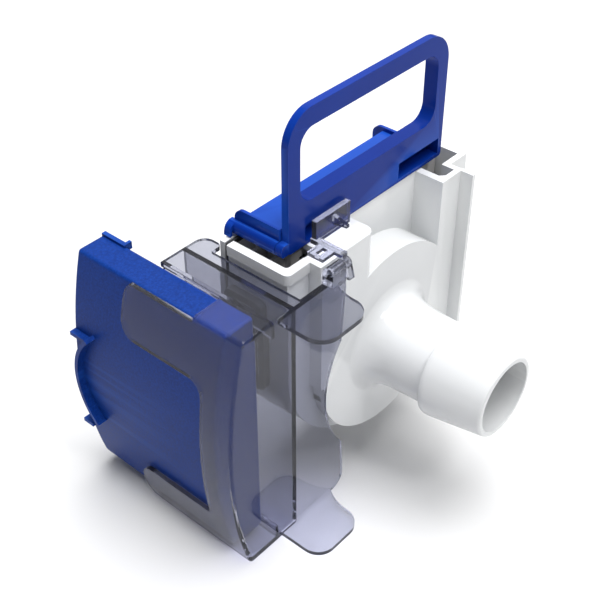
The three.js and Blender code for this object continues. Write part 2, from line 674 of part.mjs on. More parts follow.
function doorPiece() {
  const d = door;
  const skin = bin.wall + d.clearance;
  const body = alongY(frontedOutline(skin, d.z, d.backX), d.y);
  const hollow = alongY(frontedOutline(skin + d.wall, [d.z[0] + d.wall, d.z[1] - d.wall], d.backX + 1),
    [d.y[0] + d.wall, d.y[1] - d.wall]);
  const footCut = alongX(polygon([[d.y[1] - doorFoot.cut[0], d.z[0] - 1], [d.y[1] + 1, d.z[0] - 1],
    [d.y[1] + 1, d.z[0] + doorFoot.cut[1]]]), [-110, -60]);
  const tab = box(doorTab.x, doorTab.y, doorTab.z);
  const lowTab = box(doorFoot.x, doorFoot.y, doorFoot.z);
  const clipZ = [d.z[1] - doorClip.drop, d.z[1] + doorClip.rise];
  const clip = box(doorClip.x, doorClip.y, clipZ);
  const clipHook = box([doorClip.x[0], doorClip.hookX], [doorClip.y[0], doorClip.hookY], clipZ);
  return join(cut(body, hollow, footCut), tab, lowTab, fingerLip(), clip, clipHook);
}

function doorSealPiece() {
  const d = door;
  const x = [d.backX - 8, d.backX - 1];
  const inset = d.wall + gap;
  const y = [d.y[0] + inset, d.y[0] + inset + 3];
  return box(x, y, [d.z[0] + 12, d.z[1] - 12]);
}

// ---------------------------------------------------------------- assembly

addPiece('filter_housing', housingPiece(), finishes.white);
addPiece('rear_cover', rearCoverPiece(), finishes.white);
addPiece('rear_cover_seal', rearSealPiece(), finishes.rubber);
addPiece('inlet_port_gasket', portGasketPiece(), finishes.rubber);
addPiece('outlet_grating', outletGratingPiece(), finishes.white);
screwSpots.forEach(([x, z], n) => addPiece(`rear_cover_screw_${n + 1}`, screwPiece(x, z), finishes.steel));

addPiece('bail_handle', bailHandlePiece(), finishes.blueGloss);
addPiece('cassette_cap', capPiece(), finishes.blueGloss);
addPiece('cassette_cap_seal', capSealPiece(), finishes.rubber);
addPiece('cassette_basket', basketFramePiece(), finishes.grey);
addPiece('filter_screen', screenPiece(), finishes.mesh);
addPiece('screen_retainer', screenRetainerPiece(), finishes.grey);
addPiece('filter_pleats', pleatsPiece(), finishes.paper);
addPiece('pleat_end_lower', pleatEndPiece(-16.2), finishes.white);
addPiece('pleat_end_upper', pleatEndPiece(52.4), finishes.white);

addPiece('clear_bin', clearBinPiece(), finishes.clear);
addPiece('latch_pin', latchPinPiece(), finishes.steel);
addPiece('cover_latch', latchPiece(), finishes.clear);
addPiece('bin_door', doorPiece(), finishes.blueGrain);
addPiece('door_seal', doorSealPiece(), finishes.rubber);

export default group;
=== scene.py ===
# Pump water filter: white housing with a hose barb, lift-out cassette, clear debris bin with a blue door.
# Lengths are in millimetres until a mesh is made. The bin is at -X, the barb points to -Y, up is +Z.
import bpy
import bmesh
import math
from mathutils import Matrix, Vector


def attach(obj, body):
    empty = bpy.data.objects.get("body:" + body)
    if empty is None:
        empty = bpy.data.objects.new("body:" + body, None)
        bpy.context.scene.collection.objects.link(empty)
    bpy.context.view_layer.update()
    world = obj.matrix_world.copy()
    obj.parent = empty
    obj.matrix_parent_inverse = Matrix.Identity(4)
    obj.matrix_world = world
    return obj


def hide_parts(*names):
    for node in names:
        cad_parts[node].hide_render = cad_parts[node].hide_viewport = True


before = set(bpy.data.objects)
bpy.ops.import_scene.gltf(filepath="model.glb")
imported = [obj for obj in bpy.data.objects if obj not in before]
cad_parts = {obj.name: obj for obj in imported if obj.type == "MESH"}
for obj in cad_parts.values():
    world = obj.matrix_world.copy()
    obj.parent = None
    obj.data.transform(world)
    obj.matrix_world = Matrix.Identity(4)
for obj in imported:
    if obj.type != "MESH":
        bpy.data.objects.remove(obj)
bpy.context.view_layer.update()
mm = 0.001
gap = 0.3            # what neighbouring pieces keep between them


# Making and changing meshes.

# Corners are (u, v, radius); a corner with a radius becomes an arc.
def roundedPath(corners, steps=8):
    path = []
    count = len(corners)
    for i, (u, v, radius) in enumerate(corners):
        here = Vector((u, v))
        if radius == 0:
            path.append((u, v))
            continue
        back = (Vector(corners[i - 1][:2]) - here).normalized()
        ahead = (Vector(corners[(i + 1) % count][:2]) - here).normalized()
        half = back.angle(ahead) / 2
        centre = here + (back + ahead).normalized() * (radius / math.sin(half))
        first = here + back * (radius / math.tan(half)) - centre
        last = here + ahead * (radius / math.tan(half)) - centre
        start = math.atan2(first.y, first.x)
        turn = (math.atan2(last.y, last.x) - start + math.pi) % (2 * math.pi) - math.pi
        for k in range(steps + 1):
            angle = start + turn * k / steps
            path.append((centre.x + radius * math.cos(angle), centre.y + radius * math.sin(angle)))
    return path


def rectanglePath(u, v, radii=(0, 0, 0, 0), steps=8):
    corners = [(u[0], v[0], radii[0]), (u[1], v[0], radii[1]), (u[1], v[1], radii[2]), (u[0], v[1], radii[3])]
    return roundedPath(corners, steps)


def arcPath(centre, radii, start, end, steps):
    turns = [start + (end - start) * k / steps for k in range(steps + 1)]
    return [(centre[0] + radii[0] * math.cos(a), centre[1] + radii[1] * math.sin(a)) for a in turns]


def bendPath(start, pull, end, steps=10):
    points = []
    for k in range(1, steps + 1):
        t = k / steps
        a, b, c = (1 - t) ** 2, 2 * t * (1 - t), t * t
        points.append((a * start[0] + b * pull[0] + c * end[0], a * start[1] + b * pull[1] + c * end[1]))
    return points


def objectFrom(bm, name):
    bmesh.ops.recalc_face_normals(bm, faces=bm.faces)
    mesh = bpy.data.meshes.new(name)
    bm.to_mesh(mesh)
    bm.free()
    made = bpy.data.objects.new(name, mesh)
    bpy.context.scene.collection.objects.link(made)
    return made


# An outline pushed along one axis: (u, v) are (y, z), (x, z) or (x, y).
def prism(path, axis, span, name="tool"):
    orders = {"x": lambda u, v, w: (w, u, v), "y": lambda u, v, w: (u, w, v), "z": lambda u, v, w: (u, v, w)}
    order = orders[axis]
    bm = bmesh.new()
    ends = [[bm.verts.new(Vector(order(u, v, w)) * mm) for u, v in path] for w in span]
    for ring in ends:
        bm.faces.new(ring)
    for i in range(len(path)):
        j = (i + 1) % len(path)
        bm.faces.new((ends[0][i], ends[0][j], ends[1][j], ends[1][i]))
    return objectFrom(bm, name)


def block(x, y, z, name="tool"):
    return prism(rectanglePath(x, y), "z", z, name)


# Profile of (radius, distance) pairs turned round a line along X or Y; it starts and ends on the line.
def turned(profile, centre, axis="y", sides=96, name="tool"):
    bm = bmesh.new()
    rings = []
    for radius, along in profile:
        ring = []
        for k in range(sides if radius > 0 else 1):
            angle = 2 * math.pi * k / sides
            u, v = centre[0] + radius * math.cos(angle), centre[1] + radius * math.sin(angle)
            place = (u, along, v) if axis == "y" else (along, u, v)
            ring.append(bm.verts.new(Vector(place) * mm))
        rings.append(ring)
    for a, b in zip(rings, rings[1:]):
        for k in range(sides):
            corners = [a[k % len(a)], a[(k + 1) % len(a)], b[(k + 1) % len(b)], b[k % len(b)]]
            bm.faces.new(list(dict.fromkeys(corners)))
    return objectFrom(bm, name)


def rod(centre, radius, span, axis="y", sides=64, name="tool"):
    start, end = span
    return turned([(0, start), (radius, start), (radius, end), (0, end)], centre, axis, sides, name)


def bake(thing):
    ready = thing.evaluated_get(bpy.context.evaluated_depsgraph_get())
    mesh = bpy.data.meshes.new_from_object(ready)
    thing.modifiers.clear()
    thing.data = mesh
    return thing


def combine(thing, tools, operation):
    for tool in tools:
        change = thing.modifiers.new("shape", "BOOLEAN")
        change.operation = operation
        change.solver = "MANIFOLD"
        change.object = tool
    bake(thing)
    for tool in tools:
        bpy.data.objects.remove(tool)
    return thing


def join(thing, *tools):
    return combine(thing, tools, "UNION")


# Tools that cut reach past the piece on its open sides, so that no thin skin is left.
def cut(thing, *tools):
    return combine(thing, tools, "DIFFERENCE")


# Rounds every edge sharper than the angle and smooths the rest.
def soften(thing, width, steps=3, angle=34):
    weld, flat = 0.01 * mm, math.radians(0.6)   # points this close are one, faces this even are one
    bm = bmesh.new()
    bm.from_mesh(thing.data)
    bmesh.ops.remove_doubles(bm, verts=bm.verts, dist=weld)
    bmesh.ops.dissolve_degenerate(bm, edges=bm.edges, dist=weld)
    bmesh.ops.dissolve_limit(bm, angle_limit=flat, verts=bm.verts, edges=bm.edges)
    bm.to_mesh(thing.data)
    bm.free()
    if width > 0:
        bevel = thing.modifiers.new("round", "BEVEL")
        bevel.width = width * mm
        bevel.segments = steps
        bevel.limit_method = "ANGLE"
        bevel.angle_limit = math.radians(angle)
        bevel.use_clamp_overlap = True
    even = thing.modifiers.new("even", "WEIGHTED_NORMAL")
    even.keep_sharp = True
    even.mode = "FACE_AREA_WITH_ANGLE"
    for face in thing.data.polygons:
        face.use_smooth = True
    return bake(thing)


def finishPiece(thing, name, body, slot, material, *nodes):
    thing.name = name
    thing.data.name = name
    thing.data.materials.clear()
    thing.data.materials.append(material)
    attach(thing, body)
    if nodes:
        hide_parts(*nodes)
    return thing


# A copy of a CAD node with its edges rounded.
def roundedCopy(node, width, name, body, slot, material, steps=3, angle=34):
    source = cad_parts[node]
    copy = bpy.data.objects.new(name, source.data.copy())
    bpy.context.scene.collection.objects.link(copy)
    soften(copy, width, steps, angle)
    return finishPiece(copy, name, body, slot, material, node)


# Materials.

class Nodes:
    def __init__(self, name):
        self.material = bpy.data.materials.new(name)
        self.material.use_nodes = True
        self.tree = self.material.node_tree
        self.shader = self.tree.nodes["Principled BSDF"]
        self.place = self.tree.nodes.new("ShaderNodeTexCoord").outputs["Object"]

    def add(self, kind, links=None, **values):
        node = self.tree.nodes.new("ShaderNode" + kind)
        for key, value in values.items():
            if hasattr(node, key):
                setattr(node, key, value)
            else:
                node.inputs[key.replace("_", " ")].default_value = value
        for key, source in (links or {}).items():
            self.tree.links.new(source, node.inputs[key])
        return node

    def noise(self, scale, detail=3, roughness=0.5):
        made = self.add("TexNoise", {"Vector": self.place}, Scale=scale, Detail=detail, Roughness=roughness)
        return made.outputs["Fac"]

    def spread(self, source, low, high, fromLow=0.3, fromHigh=0.7):
        made = self.add("MapRange", {"Value": source})
        for key, value in zip(("From Min", "From Max", "To Min", "To Max"), (fromLow, fromHigh, low, high)):
            made.inputs[key].default_value = value
        return made.outputs["Result"]

    def mixed(self, share, first, second):
        made = self.add("Mix", data_type="RGBA")
        self.tree.links.new(share, made.inputs[0])
        for index, value in ((6, first), (7, second)):
            if isinstance(value, tuple):
                made.inputs[index].default_value = (*value, 1)
            else:
                self.tree.links.new(value, made.inputs[index])
        return made.outputs[2]

    def raised(self, height, strength, distance, under=None):
        made = self.add("Bump", {"Height": height})
        made.inputs["Strength"].default_value = strength
        made.inputs["Distance"].default_value = distance * mm
        if under:
            self.tree.links.new(under, made.inputs["Normal"])
        return made.outputs["Normal"]

    def set(self, **values):
        for key, value in values.items():
            socket = self.shader.inputs[key.replace("_", " ")]
            if hasattr(value, "is_output"):
                self.tree.links.new(value, socket)
            elif isinstance(value, tuple):
                socket.default_value = (*value, 1)
            else:
                socket.default_value = value

    # Mask of convex edges, used to paint a lighter colour on them as a painted highlight.
    def edge(self, low, high):
        paintedEdgeHighlight = self.tree.nodes.new("ShaderNodeNewGeometry").outputs["Pointiness"]
        return self.spread(paintedEdgeHighlight, 0, 1, low, high)


# Moulded plastic with a polished tool: faint flow marks, a slight waviness, and a painted highlight that
# mixes convex edges towards a lighter colour.
def glossPlastic(name, look):
    n = Nodes(name)
    tone = n.mixed(n.spread(n.noise(look["flow"], 4), 0, 1), look["colour"], look["second"])
    # Painted highlight: convex edges are mixed towards the lighter edge colour.
    paintedEdgeHighlight = n.mixed(n.edge(*look["edge"]), tone, look["paintedEdgeHighlight"])
    fine = n.noise(900, 4, 0.65)
    n.set(Base_Color=paintedEdgeHighlight, Roughness=n.spread(fine, *look["rough"]), Metallic=0.0)
    waves = n.raised(n.noise(45, 2), look["wave"], 0.25)
    n.set(Normal=n.raised(fine, look["peel"], 0.03, waves), Specular_IOR_Level=look["shine"])
    return n.material


# Spark-eroded tool finish: small rounded grains, duller in the hollows.
def grainedPlastic(name, look):
    n = Nodes(name)
    cells = n.add("TexVoronoi", {"Vector": n.place}, Scale=look["grain"], feature="SMOOTH_F1")
    cloud = n.noise(look["grain"] * 0.55, 5, 0.7)
    height = n.add("Math", {0: cells.outputs["Distance"], 1: cloud}, operation="MULTIPLY_ADD").outputs[0]
    tone = n.mixed(n.spread(n.noise(22, 3), 0, 1), look["colour"], look["second"])
    speckled = n.mixed(n.spread(cloud, 0, 1, 0.38, 0.72), tone, look["speck"])
    # Painted highlight: convex edges are mixed towards the lighter edge colour.
    paintedEdgeHighlight = n.mixed(n.edge(*look["edge"]), speckled, look["paintedEdgeHighlight"])
    n.set(Base_Color=paintedEdgeHighlight, Roughness=n.spread(cloud, *look["rough"]), Specular_IOR_Level=look["shine"])
    n.set(Normal=n.raised(height, look["depth"], 0.12))
    return n.material


# Smoky clear plastic: the tint is in its body, so long paths through it, as at edges, go dark.
def clearPlastic(name, look):
    n = Nodes(name)
    fine = n.noise(700, 3)
    n.set(Base_Color=look["colour"], Transmission_Weight=look["clear"], IOR=look["ior"])
    n.set(Roughness=n.spread(fine, *look["rough"]))
    n.set(Normal=n.raised(n.noise(60, 2), look["wave"], 0.2))
    smoke = n.add("VolumeAbsorption", Density=look["density"])
    smoke.inputs["Color"].default_value = (*look["smoke"], 1)
    output = n.tree.nodes["Material Output"]
    n.tree.links.new(smoke.outputs[0], output.inputs["Volume"])
    through = n.add("BsdfTransparent")
    through.inputs["Color"].default_value = (*look["lets"], 1)
    both = n.add("MixShader", {"Fac": n.add("LightPath").outputs["Is Shadow Ray"]})
    n.tree.links.new(n.shader.outputs[0], both.inputs[1])
    n.tree.links.new(through.outputs[0], both.inputs[2])
    n.tree.links.new(both.outputs[0], output.inputs["Surface"])
    return n.material


def rubberMaterial(name, look):
    n = Nodes(name)
    fine = n.noise(1200, 5, 0.7)
    dust = n.mixed(n.spread(n.noise(60, 5), 0, 1, 0.45, 0.75), look["colour"], look["dust"])
    n.set(Base_Color=dust, Roughness=n.spread(fine, 0.55, 0.8), Normal=n.raised(fine, 0.35, 0.05))
    return n.material


def steelMaterial(name, look):
    n = Nodes(name)
    stretch = n.add("Mapping", {"Vector": n.place})
    stretch.inputs["Scale"].default_value = look["stretch"]
    lines = n.add("TexNoise", {"Vector": stretch.outputs[0]}, Scale=400.0, Detail=4.0).outputs["Fac"]
    tone = n.mixed(n.spread(lines, 0, 1), look["colour"], look["second"])
    n.set(Base_Color=tone, Metallic=1.0, Roughness=n.spread(lines, *look["rough"]))
    n.set(Normal=n.raised(lines, 0.2, 0.02))
    return n.material


# Fine wire cloth: two sets of crossing bands, bright on the wires and dark in the holes between them.
def wovenMaterial(name, look):
    n = Nodes(name)
    sets = []
    for way in ("X", "Z"):
        wires = n.add("TexWave", {"Vector": n.place}, wave_type="BANDS", bands_direction=way,
            Scale=look["wires"])
        sets.append(wires.outputs["Fac"])
    cloth = n.add("Math", {0: sets[0], 1: sets[1]}, operation="MAXIMUM").outputs[0]
    tone = n.mixed(n.spread(cloth, 0, 1, 0.35, 0.6), look["hole"], look["wire"])
    n.set(Base_Color=tone, Metallic=n.spread(cloth, 0, 1, 0.35, 0.6), Roughness=n.spread(cloth, 0.6, 0.32))
    n.set(Normal=n.raised(cloth, 0.8, 0.3))
    return n.material


def paperMaterial(name, look):
    n = Nodes(name)
    fibres = n.noise(1500, 6, 0.75)
    tone = n.mixed(n.spread(n.noise(90, 5), 0, 1), look["colour"], look["second"])
    n.set(Base_Color=tone, Roughness=0.92, Normal=n.raised(fibres, 0.5, 0.08))
    return n.material


# In these looks the lighter edge colour is a painted highlight on convex edges.
whitePlastic = glossPlastic("whitePlastic", dict(
    colour=(0.68, 0.69, 0.70), second=(0.72, 0.73, 0.735), paintedEdgeHighlight=(0.78, 0.79, 0.79), edge=(0.53, 0.66),
    flow=12.0, rough=(0.12, 0.2), wave=0.04, peel=0.06, shine=0.5))
bluePlastic = glossPlastic("bluePlastic", dict(
    colour=(0.002, 0.023, 0.22), second=(0.003, 0.03, 0.265), paintedEdgeHighlight=(0.012, 0.07, 0.42), edge=(0.52, 0.62),
    flow=18.0, rough=(0.12, 0.22), wave=0.06, peel=0.1, shine=0.1))
greyPlastic = glossPlastic("greyPlastic", dict(
    colour=(0.36, 0.35, 0.34), second=(0.41, 0.4, 0.385), paintedEdgeHighlight=(0.5, 0.49, 0.48), edge=(0.53, 0.66),
    flow=15.0, rough=(0.3, 0.44), wave=0.05, peel=0.14, shine=0.4))
blueGrain = grainedPlastic("blueGrain", dict(
    colour=(0.002, 0.022, 0.15), second=(0.003, 0.027, 0.18), speck=(0.006, 0.045, 0.28),
    paintedEdgeHighlight=(0.012, 0.07, 0.36), edge=(0.53, 0.66), grain=2000.0, rough=(0.36, 0.5), depth=0.32, shine=0.12))
smokyClear = clearPlastic("smokyClear", dict(
    colour=(0.5, 0.51, 0.57), ior=1.28, rough=(0.02, 0.06), wave=0.04, clear=0.98,
    lets=(0.93, 0.93, 0.96), smoke=(0.34, 0.36, 0.66), density=24.0))
blackRubber = rubberMaterial("blackRubber", dict(
    colour=(0.016, 0.016, 0.018), dust=(0.05, 0.05, 0.052)))
steel = steelMaterial("steel", dict(
    colour=(0.58, 0.59, 0.6), second=(0.72, 0.72, 0.73), rough=(0.22, 0.38), stretch=(8, 1, 1)))
wireCloth = wovenMaterial("wireCloth", dict(
    wire=(0.6, 0.61, 0.63), hole=(0.05, 0.05, 0.052), wires=160.0))
filterPaper = paperMaterial("filterPaper", dict(
    colour=(0.8, 0.78, 0.7), second=(0.86, 0.84, 0.77)))

print("materials made")


# White housing.

housing = dict(front=31.0, shoulder=37.0, back=66.6, top=60.2, frontHalf=44.75, rearHalf=56.2, belly=10.0,
    drum=42.6, drumWall=2.4, wall=2.7, recess=(-12.5, 30.9), recessBack=44.9, slotWall=1.3, round=0.9,
    rail=(43.4, 45.2), railFront=25.1, railBottom=-24.0, foot=(30.0, -18.0), blockRound=4.5, blockFloor=-10.0,
    port=((49.5, 62.5), (4.0, 40.0)), nearChannel=-37.0, farChannel=34.3, pocketFloor=-8.0,
    pocket=[(34.3, 41), (34.3, 35.4), (36.3, 33.5), (42.1, 33.5), (42.1, 41)])
barb = dict(ridge=21.0, neck=18.0, tip=17.3, bore=15.4, end=-26.5, base=26.0, flare=12.0, noseEdge=0.55,
    noseDepth=1.6)
rim = dict(out=0.8, wall=3.0, low=55.6, corner=2.4, innerCorner=1.6)
screws = dict(spots=[(-51, 47), (51, 47), (-51, 12), (51, 12), (-38.8, -22.6), (38.8, -22.6)],
    boss=3.1, bossFront=52.0, hole=1.6, holeFront=55.0)


def bellyPath(half, top, belly, depth, steps=72):
    return [(half, top), (-half, top)] + arcPath((0, belly), (half, depth), math.pi, 2 * math.pi, steps)


def barbSolid():
    b, face = barb, housing["front"]
    profile = [(0, face + 1), (b["base"], face + 1), (b["base"], face)]
    flare = bendPath((b["base"], face), (b["neck"] + 1.5, face - 1), (b["neck"] + 0.6, face - b["flare"]), 14)
    ridge = [(b["neck"], 4), (b["neck"], 1.4), (b["neck"] + 0.3, 1.0), (b["ridge"] - 0.6, 0.85)]
    crown = bendPath((b["ridge"] - 0.6, 0.85), (b["ridge"] + 0.1, 0.8), (b["ridge"], -1.6), 8)
    noseStart = (b["tip"] + b["noseEdge"], b["end"] + b["noseDepth"])
    nose = bendPath(noseStart, (b["tip"] + 0.45, b["end"]), (b["tip"] - 0.7, b["end"]), 8)
    return turned(profile + flare + ridge + crown + [noseStart] + nose + [(0, b["end"])], (0, 0), sides=144)


# Rounded bead round the mouth of the slot, in plan: the near end and the run of the front wall.
def rimBead():
    h, r = housing, rim
    x, y = -h["rearHalf"], h["shoulder"]
    out, inn = r["out"], r["wall"]
    corners = [(x - out, h["back"], 0), (x - out, y - out, r["corner"]), (-h["frontHalf"] + 1, y - out, 0),
        (-h["frontHalf"] + 1, y + inn, 0), (x + inn, y + inn, r["innerCorner"]), (x + inn, h["back"], 0)]
    return prism(roundedPath(corners, 8), "z", (r["low"], h["top"]))


def housingPiece():
    h = housing
    span = (h["front"], h["shoulder"] + 3)
    shell = prism(bellyPath(h["rearHalf"], h["top"], h["belly"], h["belly"] + h["drum"]), "y",
        (h["shoulder"], h["back"]))
    join(shell, rod((0, 0), h["drum"], span, sides=180),
        block((-h["frontHalf"], h["frontHalf"]), span, (0, h["top"])),
        block((h["foot"][0], h["frontHalf"]), span, (h["foot"][1], 1)))
    near, far = h["recess"]
    r, front, deep = h["blockRound"], h["front"], h["recessBack"]
    plan = arcPath((near - r, front + r), (r, r), 0, -math.pi / 2, 10)
    plan += [(near - r, front - 1), (far, front - 1), (far, deep), (near, deep)]
    recess = prism(plan, "z", (0, h["top"] + 1))
    cut(recess, rod((0, 0), h["drum"], (h["front"] - 2, h["recessBack"] + 1), sides=180))
    cut(shell, recess)
    join(shell, barbSolid(), block(h["rail"], (h["railFront"], h["front"] + 1), (h["railBottom"], h["top"])))
    w, slotFront = h["wall"], h["recessBack"] + h["slotWall"]
    inner = bellyPath(h["rearHalf"] - w, h["top"] + 1, h["belly"], h["belly"] + h["drum"] - w)
    cut(shell, prism(inner, "y", (slotFront, h["back"] + 1)),
        rod((0, 0), h["drum"] - h["drumWall"], (h["front"] + h["drumWall"], slotFront + 1), sides=144),
        block((-h["frontHalf"] + w, h["recess"][0] - w), (h["front"] + w, slotFront + 1),
            (h["blockFloor"], h["top"] - w)),
        block((-h["rearHalf"] + w, h["nearChannel"]), (h["shoulder"] + w, slotFront + 1), (0, h["top"] + 1)),
        block((h["farChannel"], h["rearHalf"] - w), (h["shoulder"] + w, slotFront + 1), (0, h["top"] + 1)),
        prism(h["pocket"], "z", (h["pocketFloor"], h["top"] + 1)),
        rod((0, 0), barb["bore"], (barb["end"] - 1, h["front"] + h["drumWall"] + 1), sides=120),
        block((-h["rearHalf"] - 1, -h["rearHalf"] + w + 1), *h["port"]))
    s, back = screws, h["back"]
    join(shell, rimBead(), *[rod(spot, s["boss"], (s["bossFront"], back), sides=32) for spot in s["spots"]])
    cut(shell, *[rod(spot, s["hole"], (s["holeFront"], back + 1), sides=24) for spot in s["spots"]])
    soften(shell, h["round"], 3)
    return finishPiece(shell, "whiteHousing", "housing", "white_plastic", whitePlastic, "filter_housing")


housingPiece()
roundedCopy("rear_cover", 0.4, "rearCover", "housing", "white_plastic", whitePlastic)
roundedCopy("rear_cover_seal", 0.15, "rearCoverSeal", "housing", "rubber", blackRubber, 2)
roundedCopy("inlet_port_gasket", 0.5, "portGasket", "housing", "rubber", blackRubber)
roundedCopy("outlet_grating", 0.3, "outletGrating", "housing", "white_plastic", whitePlastic)
for n in range(1, 7):
    roundedCopy(f"rear_cover_screw_{n}", 0.25, f"coverScrew{n}", "housing", "steel", steel)

print("housing built")

# Lift-out cassette.

handle = dict(half=47.35, window=40.85, y=(44.25, 47.5), collarBack=50.6, bottom=60.7, top=117.4,
    sill=79.2, lintel=109.6, corner=13.0, footCorner=1.5, windowCorner=7.0, collar=1.8,
    recesses=((-38, -15), (18.5, 45.0)), recessZ=(62.4, 69.5), recessBack=50.0, recessWall=1.2, round=0.75)
cap = dict(x=(-48.6, 36.0), y=(47.8, 65.0), z=(61.2, 69.6), skin=2.2, wall=2.0, finTop=71.2, finBack=70.2,
    fin=1.5, finCorner=4.2, farStep=60.0, shelf=3.0, round=0.5)
eave = dict(out=-51.4, height=5.0, crownStart=0.6, droop=1.6, lip=0.8, hook=(-53.0, 60.7), hookY=(68.6, 71.8),
    hookWall=1.2)


# The space of one blind recess in the front plate, grown on every side but the front.
def recessBlock(x, grow, front):
    z = handle["recessZ"]
    return block((x[0] - grow, x[1] + grow), (front, handle["recessBack"] + grow), (z[0] - grow, z[1] + grow))


# Rounded eave that runs along the near end of the cap and the plate.
def eaveSolid(root, y):
    low, high, out = cap["z"][0], cap["z"][0] + eave["height"], eave["out"]
    crown = bendPath((cap["x"][0] - eave["crownStart"], high), (out, high), (out, low + eave["droop"]), 12)
    under = [(out + eave["lip"], low), (root - 0.1, low)]
    return prism([(root, low), (root, high)] + crown + under, "y", y)


def eaveHook():
    w, root, high = eave["hookWall"], cap["x"][0], cap["z"][0] + eave["height"]
    out, tip = eave["hook"]
    outer = bendPath((root, high), (out, high), (out, tip), 12)
    inner = bendPath((root, high - w), (out + w, high - w), (out + w, tip), 12)
    return prism([(root, high)] + outer + inner[::-1] + [(root, high - w)], "y", eave["hookY"])


def handlePiece():
    h = handle
    c, w, t = h["corner"], h["windowCorner"], h["collar"]
    corners = (h["footCorner"], h["footCorner"], c, c)
    plate = prism(rectanglePath((-h["half"], h["half"]), (h["bottom"], h["top"]), corners, 16), "y", h["y"])
    opening = ((-h["window"], h["window"]), (h["sill"], h["lintel"]))
    around = tuple((low - t, high + t) for low, high in opening)
    join(plate, prism(rectanglePath(*around, (w + t,) * 4, 16), "y", (h["y"][0] + 1, h["collarBack"])))
    join(plate, eaveSolid(-h["half"] + 0.5, h["y"]),
        *[recessBlock(x, h["recessWall"], h["y"][0] + 0.6) for x in h["recesses"]])
    cut(plate, prism(rectanglePath(*opening, (w,) * 4, 16), "y", (h["y"][0] - 1, h["collarBack"] + 1)),
        *[recessBlock(x, 0, h["y"][0] - 1) for x in h["recesses"]])
    soften(plate, h["round"], 4)
    return finishPiece(plate, "bailHandle", "cassette", "blue_gloss", bluePlastic, "bail_handle")


# Hollow cap between the plate and the housing, with a thin upright fin at each end.
def capPiece():
    k, h = cap, handle
    cover = block(k["x"], k["y"], k["z"])
    w = k["wall"]
    hollow = block((k["x"][0] + w, k["x"][1] - w), (k["y"][0] - 1, k["y"][1] - w),
        (k["z"][0] + w, k["z"][1] - k["skin"]))
    cut(cover, hollow)
    fin = rectanglePath((k["y"][0], k["finBack"]), (k["z"][0], k["finTop"]), (0, 0, k["finCorner"], 0), 12)
    join(cover, prism(fin, "x", (k["x"][0], k["x"][0] + k["fin"])),
        prism(fin, "x", (k["x"][1] - k["fin"], k["x"][1])),
        block((k["x"][1] - 1, h["half"]), (k["y"][0], k["farStep"]), (k["z"][0], k["z"][0] + k["shelf"])),
        eaveSolid(k["x"][0] + 0.5, (k["y"][0], eave["hookY"][1])), eaveHook())
    cut(cover, *[recessBlock(x, h["recessWall"] + gap, k["y"][0] - 1) for x in h["recesses"]])
    soften(cover, k["round"], 3)
    return finishPiece(cover, "cassetteCap", "cassette", "blue_gloss", bluePlastic, "cassette_cap")


handlePiece()
capPiece()
roundedCopy("cassette_cap_seal", 0.3, "capSeal", "cassette", "rubber", blackRubber)
roundedCopy("cassette_basket", 0.35, "basketFrame", "cassette", "grey_plastic", greyPlastic)
roundedCopy("screen_retainer", 0.25, "screenRetainer", "cassette", "grey_plastic", greyPlastic)
roundedCopy("filter_screen", 0.1, "wovenScreen", "cassette", "screen", wireCloth, 1)
roundedCopy("filter_pleats", 0.1, "filterPaper", "cassette", "filter_paper", filterPaper, 1)
for which in ("lower", "upper"):
    roundedCopy(f"pleat_end_{which}", 0.3, f"pleatEnd_{which}", "cassette", "white_plastic", whitePlastic)

print("cassette built")

# Clear debris bin, its door and latch.

tub = dict(side=(28.8, 30.7), back=(-62.0, -60.0), top=53.0, bottom=-64.0, front=-88.5, bulge=9.0, wall=2.0,
    end=85.0, mouth=53.0, ledge=(-50.8, 75.4), lowEar=4.0, railWall=1.6, railTall=(1.0, 8.0), round=0.35)
doorway = dict(side=44.8, sill=-40.0, lintel=28.6, tongue=88.5, lip=87.0, corner=8.0, sideCorner=2.0)
wing = dict(root=-66.0, foot=(-38.0, -31.2), heel=-55.0, knee=(-32.4, -36.0), pinch=(-43.5, -22.0),
    waist=(-43.0, -4.0), swell=(-42.0, 10.0), shoulder=(-34.3, 20.5), neck=(-32.4, 44.0), head=-37.0)
ear = dict(x=(-70.6, -43.5), front=7.5, corner=8.0, thick=2.0, fillet=(5.0, 6.0))
door = dict(y=(38.0, 118.0), z=(-59.0, 50.4), back=-73.2, wall=2.0, clearance=0.45, round=0.4,
    upperTab=((-96.8, -92), (107.5, 117.4), (13.8, 15.6)),
    lowerTab=((-95.8, -90), (113, 118.8), (-35.6, -33.8)),
    clipY=(104.6, 106, 117.6), clipX=(-1.6, 0.4, 2.4), clipZ=(-2, 1.2), chamfer=(3, 5))
fingerRing = dict(centre=(82.3, -6.0), radius=32.1, wall=1.8, span=(-0.765, 0.769), x=(-98.3, -90))
latch = dict(pin=(28.1, 58.6), barrel=2.4, bore=1.3, cheek=1.6, bracket=(-44.2, -36.5))


# The bin's curved front in (x, z), set in by an offset.
def frontPath(offset, z, steps=56):
    half = (tub["top"] - tub["bottom"]) / 2
    middle = (tub["top"] + tub["bottom"]) / 2
    radius = (half ** 2 + tub["bulge"] ** 2) / (2 * tub["bulge"])
    centre = tub["front"] - tub["bulge"] + radius
    path = []
    for k in range(steps + 1):
        height = z[0] + (z[1] - z[0]) * k / steps
        path.append((centre - math.sqrt((radius - offset) ** 2 - (height - middle) ** 2), height))
    return path


def frontedPath(offset, z, back):
    return frontPath(offset, z) + [(back, z[1]), (back, z[0])]


